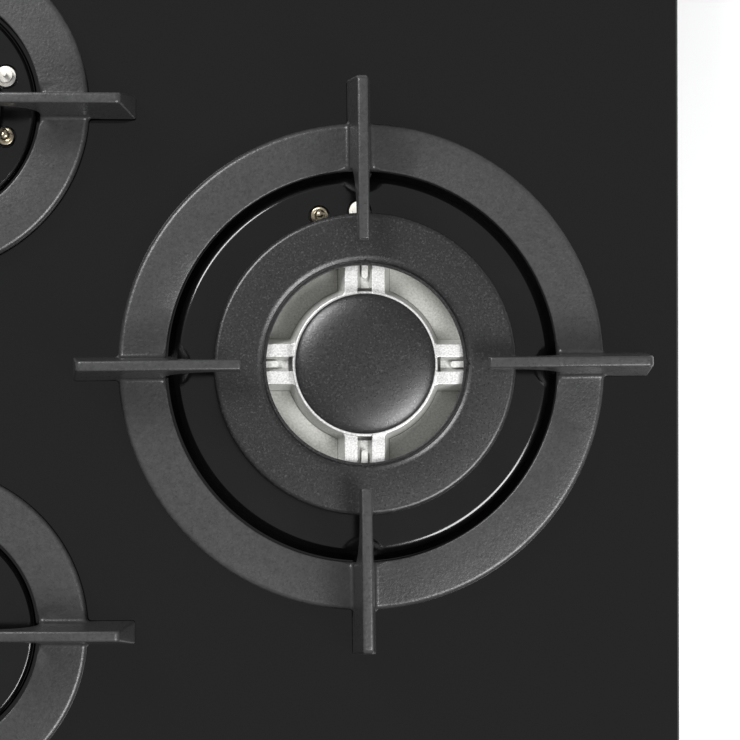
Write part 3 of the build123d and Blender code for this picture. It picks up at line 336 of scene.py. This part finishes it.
ceramic = moulded("ceramic", (0.74, 0.71, 0.65), (0.84, 0.82, 0.77), 0.12, 0.25, 0.8, 0.01)
knob_plastic = moulded("knob_plastic", (0.014, 0.014, 0.015), (0.024, 0.024, 0.025), 0.3, 0.42, 0.35, 0.02)
module_plastic = moulded("module_plastic", (0.55, 0.55, 0.52), (0.66, 0.66, 0.62), 0.4, 0.55, 0.4, 0.02)
terminal_plastic = moulded("terminal_plastic", (0.03, 0.03, 0.03), (0.05, 0.05, 0.05), 0.4, 0.55, 0.4, 0.02)
lead_rubber = moulded("lead_rubber", (0.50, 0.42, 0.30), (0.62, 0.52, 0.38), 0.45, 0.6, 0.5, 0.01)
seal_rubber = moulded("seal_rubber", (0.016, 0.016, 0.016), (0.028, 0.028, 0.028), 0.6, 0.75, 0.6, 0.03)
silicone = moulded("silicone", (0.045, 0.045, 0.045), (0.065, 0.065, 0.065), 0.4, 0.5, 0.9, 0.02)
foam = moulded("foam", (0.022, 0.022, 0.022), (0.045, 0.045, 0.045), 0.8, 0.95, 0.5, 0.12)
print("non-metals, from", ceramic.material.name, "to", foam.material.name)

# %% [markdown]
# ## Give every CAD piece its finish
# One table says which finish each piece takes, and which of the record's material
# slots that finish stands for. A CAD mesh keeps its shape and its place: only its
# material slot changes.

# %% Assign the finishes
worn_by = [
    ("black_glass", black_glass, ["glass_top"]),
    ("silicone", silicone, ["glass_bond"]),
    ("foam_seal", foam, ["rim_seal"]),
    ("galvanised_steel", galvanised, ["base_box", "burner_beam_left", "burner_beam_right",
                                      "worktop_clamps"]),
    ("screw_steel", screw_steel, ["burner_screws", "clamp_screws"]),
    ("rail_steel", rail_steel, ["manifold"]),
    ("probe_steel", probe_steel, ["wok_thermocouple", "rear_thermocouple", "front_thermocouple"]),
    ("cast_aluminium", cup_metal, ["wok_cup", "rear_cup", "front_cup"]),
    ("crown_aluminium", crown_metal, ["wok_crown"]),
    ("crown_aluminium", small_crown_metal, ["rear_crown", "front_crown"]),
    ("tube_aluminium", tube_metal, ["wok_gas_tube", "rear_gas_tube", "front_gas_tube"]),
    ("black_enamel", tray_enamel, ["wok_tray", "rear_tray", "front_tray"]),
    ("black_enamel", cap_enamel, ["wok_outer_cap", "wok_inner_cap", "rear_cap", "front_cap"]),
    ("cast_iron", cast_iron, ["wok_trivet", "rear_trivet", "front_trivet"]),
    ("ceramic_white", ceramic, ["wok_electrode", "rear_electrode", "front_electrode"]),
    ("brass", brass, ["gas_inlet", "wok_injector", "rear_injector", "front_injector",
                      "wok_plug", "rear_plug", "front_plug"]),
    ("cast_aluminium", tube_metal, ["wok_valve", "rear_valve", "front_valve"]),
    ("rail_steel", screw_steel, ["wok_spindle", "rear_spindle", "front_spindle"]),
    ("copper", copper, ["thermocouple_leads"]),
    ("knob_plastic", knob_plastic, ["wok_knob", "rear_knob", "front_knob"]),
    ("module_plastic", module_plastic, ["ignition_module", "ignition_switches"]),
    ("terminal_plastic", terminal_plastic, ["terminal_block"]),
    ("lead_rubber", lead_rubber, ["ignition_wiring"]),
    ("seal_rubber", seal_rubber, ["knob_seals", "wok_trivet_feet", "rear_trivet_feet",
                                  "front_trivet_feet"]),
]
finish_of = {node: finish for slot, finish, nodes in worn_by for node in nodes}
for node, piece in frame["nodes"].items():
    piece.data.materials.clear()
    piece.data.materials.append(finish_of[node].material)
print("pieces with a finish:", len(finish_of))

# %% [markdown]
# ## Copies that stand for CAD pieces
# A CAD mesh is loose triangles, so a copy is merged first. A copy or a new piece
# rides on the body of the CAD piece that it stands for, so that it lifts and turns
# with it.

# %% Helpers: a merged copy that stands for a CAD piece
MERGE_DISTANCE = 0.002 * MM


def object_from(made, name):
    """Puts a bmesh into the scene as a new object at the origin."""
    mesh = bpy.data.meshes.new(name)
    made.to_mesh(mesh)
    made.free()
    piece = bpy.data.objects.new(name, mesh)
    scene.collection.objects.link(piece)
    return piece


def merged_copy(node, name):
    """A copy of a CAD piece with its triangles joined, in the same finish."""
    made = bmesh.new()
    made.from_mesh(frame["nodes"][node].data)
    bmesh.ops.remove_doubles(made, verts=made.verts, dist=MERGE_DISTANCE)
    piece = object_from(made, name)
    piece.data.materials.append(finish_of[node].material)
    return piece


def stand_for(piece, node):
    """The piece rides where the CAD node rides, and is shown in its place."""
    cad = frame["nodes"][node]
    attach(piece, cad["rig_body"])
    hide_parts(node)


# %% [markdown]
# ## Smooth the turned pieces, and soften small edges
# A CAD edge is perfectly sharp, and a sharp edge catches no light. On a real piece
# every edge is a small round. The trays and the wok burner's crown have their rounds
# already, and only need their facets shaded as one face. On the other pieces we drop
# the seams inside flat faces, and let a Bevel modifier round what is left.

# %% Smooth copies
crease_deg = 30


def smooth_copy(node):
    """The CAD shape with its curved faces shaded as one, and creases only at real corners."""
    piece = merged_copy(node, node + "_smooth")
    if "custom_normal" in piece.data.attributes:
        piece.data.attributes.remove(piece.data.attributes["custom_normal"])
    piece.data.shade_smooth()
    piece.data.set_sharp_from_angle(angle=math.radians(crease_deg))
    stand_for(piece, node)
    return piece


for node in ("rear_tray", "front_tray", "wok_crown"):
    piece = smooth_copy(node)
    print(piece.name, "faces", len(piece.data.polygons))

# %% Soft copies
flat_deg = 0.3
edge_deg = 32
soft_edges = {"rear_cap": 0.35, "front_cap": 0.35,
              "wok_electrode": 0.2, "rear_electrode": 0.2, "front_electrode": 0.2,
              "wok_thermocouple": 0.2, "rear_thermocouple": 0.2, "front_thermocouple": 0.2,
              "wok_knob": 0.4, "rear_knob": 0.4, "front_knob": 0.4}


def soften(node, width_mm):
    """The CAD shape with every edge sharper than edge_deg rounded."""
    piece = merged_copy(node, node + "_soft")
    made = bmesh.new()
    made.from_mesh(piece.data)
    bmesh.ops.dissolve_limit(made, angle_limit=math.radians(flat_deg), verts=made.verts, edges=made.edges)
    made.to_mesh(piece.data)
    made.free()
    piece.data.shade_smooth()
    bevel = piece.modifiers.new("edge", "BEVEL")
    bevel.width = width_mm * MM
    bevel.segments = 2
    bevel.limit_method = "ANGLE"
    bevel.angle_limit = math.radians(edge_deg)
    bevel.harden_normals = True
    stand_for(piece, node)
    return piece


for node, width in soft_edges.items():
    piece = soften(node, width)
    print(piece.name, "faces", len(piece.data.polygons))

# %% [markdown]
# ## Bodies of revolution and cutters
# The wok burner's caps and tray have the same section all round. So we draw a
# section once, as a few points, round its corners with a vertex bevel, and spin it.
# What isn't the same all round is cut out afterwards with a Boolean, whose result is
# written into the piece's own mesh.

# %% Helpers: spin a section, cut a piece
def spin_section(name, corners, centre, steps=180, closed=True):
    """A body of revolution. A corner is (radius, height) or (radius, height, round), in mm."""
    made = bmesh.new()
    section = [made.verts.new((corner[0] * MM, 0, corner[1] * MM)) for corner in corners]
    for first, second in zip(section, section[1:]):
        made.edges.new((first, second))
    if closed:
        made.edges.new((section[-1], section[0]))
    for vertex, corner in zip(section, corners):
        if len(corner) == 3:
            bmesh.ops.bevel(made, geom=[vertex], offset=corner[2] * MM, segments=8, profile=0.5,
                            affect="VERTICES", material=-1)
    bmesh.ops.spin(made, geom=made.verts[:] + made.edges[:], angle=math.tau, steps=steps,
                   axis=(0, 0, 1), cent=(0, 0, 0), use_merge=True)
    bmesh.ops.remove_doubles(made, verts=made.verts, dist=MERGE_DISTANCE)
    bmesh.ops.recalc_face_normals(made, faces=made.faces)
    bmesh.ops.translate(made, verts=made.verts, vec=centre)
    piece = object_from(made, name)
    piece.data.shade_smooth()
    return piece


def cut(piece, cutter):
    """Cuts the cutter out of the piece's mesh, and removes the cutter."""
    boolean = piece.modifiers.new("cut", "BOOLEAN")
    boolean.operation = "DIFFERENCE"
    boolean.solver = "EXACT"
    boolean.object = cutter
    graph = bpy.context.evaluated_depsgraph_get()
    mesh = bpy.data.meshes.new_from_object(piece.evaluated_get(graph))
    piece.modifiers.clear()
    piece.data = mesh
    bpy.data.objects.remove(cutter)


def middle_of(node):
    """The middle of a node in plan, at height 0."""
    low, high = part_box(node)
    return Vector(((low.x + high.x) / 2, (low.y + high.y) / 2, 0))


wok_middle = middle_of("wok_tray")
print("the wok burner stands at", [round(value, 4) for value in wok_middle.xy])

# %% [markdown]
# ## Press and enamel the wok burner's ring cap
# The ring cap is a flat steel ring with a rolled outer edge and a softly rounded
# inner lip, above a thin step that drops to the crown. The highlight along the lip
# comes from that round, not from a line. At the four bridges the lip has a small
# wedge-shaped notch. A cone with three sides and a radius of 1 is such a wedge: it
# is 1.5 long and twice the sine of 60 degrees wide, so two stretches fit it.

# %% Ring cap
step_r = 42.9
lip_r = 44.1
shoulder_r = 44.7
flat_r = 46.5
rib_r = 47.4
ring_cap_r = 65.7
rib_wall = 2
rib_height = 2
shoulder_drop = 0.75
lip_drop = 2.8
rib_foot, ring_top = (corner.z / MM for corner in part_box("wok_outer_cap"))
ring_middle = middle_of("wok_outer_cap")
ring_under = rib_foot + rib_height
lip_step = ring_top - lip_drop
ring_cap = spin_section("wok_ring_cap_enamelled", [
    (step_r, ring_under),
    (rib_r, ring_under),
    (rib_r, rib_foot),
    (rib_r + rib_wall, rib_foot),
    (rib_r + rib_wall, ring_under),
    (ring_cap_r, ring_under, 0.6),
    (ring_cap_r, ring_top, 2.0),
    (flat_r, ring_top, 0.8),
    (shoulder_r, ring_top - shoulder_drop, 0.4),
    (lip_r, lip_step),
    (step_r, lip_step, 0.3),
], ring_middle)
ring_cap.data.materials.append(cap_enamel.material)
print("ring cap, before its notches:", len(ring_cap.data.polygons), "faces")

# %% Lip notches
notch_start_r = 41.0
notch_end_r = 45.6
notch_half_width = 4.8
notch_depth = lip_drop + 1
lip_crease_deg = 35
side_stretch = notch_half_width / math.sin(math.radians(60))
length_stretch = (notch_end_r - notch_start_r) / 1.5
wedge_middle = Vector((0, notch_end_r - length_stretch, lip_step + notch_depth / 2)) * MM
wedge = Matrix.Translation(wedge_middle) @ Matrix.Diagonal((side_stretch, length_stretch, 1, 1))
wedges = bmesh.new()
for number in range(4):
    quarter_turn = Matrix.Rotation(math.radians(90 * number), 4, "Z")
    bmesh.ops.create_cone(wedges, cap_ends=True, segments=3, radius1=MM, radius2=MM,
                          depth=notch_depth * MM, matrix=quarter_turn @ wedge)
bmesh.ops.translate(wedges, verts=wedges.verts, vec=ring_middle)
cut(ring_cap, object_from(wedges, "lip_notch_cutter"))
ring_cap.data.set_sharp_from_angle(angle=math.radians(lip_crease_deg))
stand_for(ring_cap, "wok_outer_cap")
print("ring cap:", len(ring_cap.data.polygons), "faces")

# %% [markdown]
# ## The wok burner's tray
# The tray is pressed from sheet: a raised plate with a rolled edge, whose highlight
# is a thin bright arc, and a well that the crown stands in. Beyond the roll the edge
# leans down to the glass, and this slope mirrors the dark iron above it. We draw the
# sheet's two skins and spin them. A few more rings near the edge give the plate
# points that can be pressed down later.

# %% Spin the tray
sheet = 1
well_inner_r = 50.5
well_outer_r = 64.6
roll_start_r = 79.2
roll_r = 4.5
roll_turns = range(0, 36, 5)
outer_foot_r = 85.8
inner_foot_r = 84.3
press_rings_from = 72
press_ring_gap = 0.6
tray_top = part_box("wok_tray")[1].z / MM


def roll(radius, foot_r):
    """Points along the rolled edge of one skin, down to the glass."""
    centre_z = tray_top - roll_r
    turns = [math.radians(turn) for turn in roll_turns]
    arc = [(roll_start_r + radius * math.sin(turn), centre_z + radius * math.cos(turn)) for turn in turns]
    return arc + [(foot_r, glass_face)]


flat_radii = [press_rings_from + press_ring_gap * number for number in range(12)]
inner_skin = [(r, tray_top - sheet) for r in flat_radii] + roll(roll_r - sheet, inner_foot_r)
outer_skin = [(r, tray_top) for r in flat_radii] + roll(roll_r, outer_foot_r)
inner_well = [(well_inner_r, glass_face), (well_outer_r, glass_face), (well_outer_r, tray_top - sheet)]
outer_well = [(well_outer_r - sheet, tray_top), (well_outer_r - sheet, glass_face + sheet),
              (well_inner_r, glass_face + sheet)]
tray = spin_section("wok_tray_pressed", inner_well + inner_skin + outer_skin[::-1] + outer_well,
                    Vector((0, 0, 0)), steps=240)
tray.data.materials.append(tray_enamel.material)
print("tray, before its holes:", len(tray.data.polygons), "faces")

# %% [markdown]
# ## Holes and bites in the tray
# The spark electrode and the flame probe come up through the tray, and four screws
# hold it. Under each finger of the pan support the edge has a bite. The press drew
# the sheet down round it, so we lower the points near a bite, almost to the glass at
# its edge. All cutters are upright rods, joined in one mesh. The tray is worked on
# round the origin, where each place is easy to say, and moves to its burner last.

# %% Cut and press the tray
electrode_hole_r = 5.5
probe_hole_r = 4.8
screw_hole_r = 2.8
bite_r = 3.8
bite_reach = 5.6
bite_edge_share = 0.1
bite_swell = 0.25
rod_length = 20


def around(radius, turn_deg):
    """A place round the burner, counted anticlockwise from the rear, in mm from the middle."""
    turn = math.radians(turn_deg)
    return (-radius * math.sin(turn), radius * math.cos(turn))


def add_rod(made, place, radius):
    """One more upright rod, which reaches well above and below the tray."""
    rod_middle = Matrix.Translation(Vector((*place, tray_top)) * MM)
    bmesh.ops.create_cone(made, cap_ends=True, segments=64, radius1=radius * MM, radius2=radius * MM,
                          depth=rod_length * MM, matrix=rod_middle)


def press_bites(piece, places):
    """Lowers the sheet towards each bite: bite_edge_share of its height is left at the bite's edge."""
    for point in piece.data.vertices:
        x, y, z = point.co / MM
        away = min(math.hypot(x - bite_x, y - bite_y) for bite_x, bite_y in places) - bite_r
        if away < bite_reach:
            rise = max(away, 0) / bite_reach
            swollen = rise * (1 + bite_swell * (1 - rise))
            share = bite_edge_share + (1 - bite_edge_share) * swollen
            point.co.z = (glass_face + (z - glass_face) * share) * MM


electrode_place = around(67.6, 1.5)
probe_place = around(68.3, 16.5)
screw_places = [around(55.25, 45 + 90 * number) for number in range(4)]
bite_places = [around(85.0, 90 * number) for number in range(4)]
cutters = bmesh.new()
add_rod(cutters, electrode_place, electrode_hole_r)
add_rod(cutters, probe_place, probe_hole_r)
for place in screw_places:
    add_rod(cutters, place, screw_hole_r)
for place in bite_places:
    add_rod(cutters, place, bite_r)
cut(tray, object_from(cutters, "tray_cutter"))
press_bites(tray, bite_places)
tray.data.transform(Matrix.Translation(wok_middle))
tray.data.set_sharp_from_angle(angle=math.radians(crease_deg))
stand_for(tray, "wok_tray")
print("tray:", len(tray.data.polygons), "faces")

# %% [markdown]
# ## The centre cap
# The centre cap is almost flat in the middle and bends down ever faster towards its
# edge, so its highlights lie in two broad crescents. A few rings of points, spun and
# smoothed with a Subdivision Surface, give that slow bend.

# %% Centre cap
dome_drops = [(0, 0), (10, 0.1), (20, 0.8), (26.8, 2.0), (30.1, 3.3), (30.6, 4.4)]
dome_r = dome_drops[-1][0]
plug_r = 28
plug_wall = 2
plug_height = 2
plug_foot, dome_top = (corner.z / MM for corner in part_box("wok_inner_cap"))
dome_under = plug_foot + plug_height
dome = [(r, dome_top - drop) for r, drop in dome_drops]
underside = [
    (dome_r, dome_under + 0.1),
    (dome_r - 0.6, dome_under),
    (plug_r + 0.2, dome_under),
    (plug_r, dome_under - 0.2),
    (plug_r, plug_foot),
    (plug_r - plug_wall, plug_foot),
    (plug_r - plug_wall, dome_under),
    (12, dome_under),
    (0, dome_under),
]
centre_cap = spin_section("wok_centre_cap_enamelled", dome + underside, middle_of("wok_inner_cap"),
                          steps=48, closed=False)
centre_cap.data.materials.append(cap_enamel.material)
smoother = centre_cap.modifiers.new("bend", "SUBSURF")
smoother.levels = 2
smoother.render_levels = 2
stand_for(centre_cap, "wok_inner_cap")
print("centre cap:", len(centre_cap.data.polygons), "faces before smoothing")

# %% [markdown]
# ## Cast the pan supports
# The CAD shape already has the cast rounds. We shade its curved faces as one, and
# then move a few points: the ring's inner edge is crisper than its outer edge, the
# wok support's ring is a little wider, and the small supports' fingers end in a
# longer slope. Moving points by where they stand needs no modelling by hand, and
# the piece keeps its place.

# %% Helpers: move a casting's points
def arm_to(point, middle):
    """From the support's middle to a point, in plan and in mm."""
    return Vector((point.co.x - middle.x, point.co.y - middle.y)) / MM


def sharpen_inner_edge(piece, middle, inner_r, top_z, reach=2.25, share=0.2, finger_half_width=9):
    """Pulls the round on the ring's inner top edge towards the sharp edge, between the fingers."""
    for point in piece.data.vertices:
        arm = arm_to(point, middle)
        r, z = arm.length, point.co.z / MM
        in_round = inner_r - 0.05 < r < inner_r + reach and top_z - reach < z < top_z + 0.05
        if in_round and min(abs(arm.x), abs(arm.y)) >= finger_half_width:
            new_r = inner_r + share * (r - inner_r)
            new_z = top_z + share * (z - top_z)
            point.co = middle + Vector((arm.x * new_r / r, arm.y * new_r / r, new_z)) * MM


def widen_ring(piece, middle, stops):
    """Moves points outwards by a distance that follows a few (radius, shift) stops."""
    for point in piece.data.vertices:
        arm = arm_to(point, middle)
        for (start_r, start_shift), (end_r, end_shift) in zip(stops, stops[1:]):
            if start_r <= arm.length < end_r:
                share = (arm.length - start_r) / (end_r - start_r)
                shift = start_shift + (end_shift - start_shift) * share
                point.co += (arm.normalized() * shift * MM).to_3d()
                break


def slope_ends(piece, middle, low_z, from_r=88, foot_pull=0.9, top_pull=4.3, finger_rise=42):
    """Leans each finger's end inwards: a little at its foot, more at its top."""
    for point in piece.data.vertices:
        for axis in (0, 1):
            along = (point.co[axis] - middle[axis]) / MM
            if abs(along) > from_r:
                rise = (point.co.z / MM - low_z) / finger_rise
                pull = foot_pull + (top_pull - foot_pull) * rise
                point.co[axis] -= math.copysign(pull, along) * MM


# %% Cast pan supports
ring_height = 7
ring_inner_r = {"wok_trivet": 85, "rear_trivet": 52, "front_trivet": 52}
ring_stops = [(80, 0), (84.5, 0.95), (88, 0.95), (100, 0.6), (108, 0.6), (114, 0)]
for node, inner_r in ring_inner_r.items():
    casting = smooth_copy(node)
    casting_middle = middle_of(node)
    support_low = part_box(node)[0].z / MM
    sharpen_inner_edge(casting, casting_middle, inner_r, support_low + ring_height)
    if node == "wok_trivet":
        widen_ring(casting, casting_middle, ring_stops)
    else:
        slope_ends(casting, casting_middle, support_low)
    print(casting.name, "faces", len(casting.data.polygons))

# %% [markdown]
# ## The floor
# The cooktop lies on a plain pale floor, as a product does in a studio. The floor is
# a single face.

# %% Floor
floor_half_side = 3
floor_face = bmesh.new()
bmesh.ops.create_grid(floor_face, x_segments=1, y_segments=1, size=floor_half_side)
floor = object_from(floor_face, "studio_floor")
floor_paint = Finish("floor_paint", roughness=0.9, colour=(0.84, 0.84, 0.84))
floor.data.materials.append(floor_paint.material)
print("floor:", 2 * floor_half_side, "m wide")

# %% [markdown]
# ## Light
# Two soft boxes stand on opposite sides, rear left and front right and about halfway
# up, so that light runs along two of the crown's four pockets and leaves the other
# two in shade. The even grey of the room is what the glass mirrors.

# %% Lights and room
light_target = wok_middle + Vector((0, 0, 0.06))
room_grey = (0.45, 0.45, 0.455, 1)


def soft_box(name, turn, rise, distance, size, power):
    """A square area light, aimed at the wok burner; turn and rise are in degrees, lengths in metres."""
    lamp = bpy.data.lights.new(name, "AREA")
    lamp.shape = "SQUARE"
    lamp.size = size
    lamp.energy = power
    holder = bpy.data.objects.new(name, lamp)
    scene.collection.objects.link(holder)
    level = math.radians(turn)
    lift = math.radians(rise)
    away = Vector((math.cos(lift) * math.cos(level), math.cos(lift) * math.sin(level), math.sin(lift)))
    holder.location = light_target + away * distance
    holder.rotation_euler = (-away).to_track_quat("-Z", "Y").to_euler()
    print(name, "at", [round(value, 2) for value in holder.location])


soft_box("rear_left_box", turn=135, rise=46, distance=1.3, size=0.5, power=18)
soft_box("front_right_box", turn=-45, rise=53, distance=1.3, size=0.55, power=19)
room = bpy.data.worlds.new("room")
room.use_nodes = True
room.node_tree.nodes["Background"].inputs["Color"].default_value = room_grey
scene.world = room
scene.view_settings.view_transform = "Standard"

# %% [markdown]
# ## Camera
# The photograph looks almost straight down from about 1.6 m. A long lens keeps the
# same flat perspective. The camera's upward side is the cooktop's rear.

# %% Camera
camera = bpy.data.objects.new("camera", bpy.data.cameras.new("camera"))
scene.collection.objects.link(camera)
camera.data.sensor_width = 36
camera.data.lens = 179
camera.data.clip_end = 20
eye = Vector((0.0182, -0.0144, 1.673))
aim = Vector((0.0886, 0.0340, 0.056))
back = (eye - aim).normalized()
up = (Vector((0, 1, 0)) - back * back.y).normalized()
right = up.cross(back)
camera.matrix_world = Matrix.Translation(eye) @ Matrix((right, up, back)).transposed().to_4x4()
scene.camera = camera
print("camera:", round((eye - aim).length, 3), "m from what it looks at")
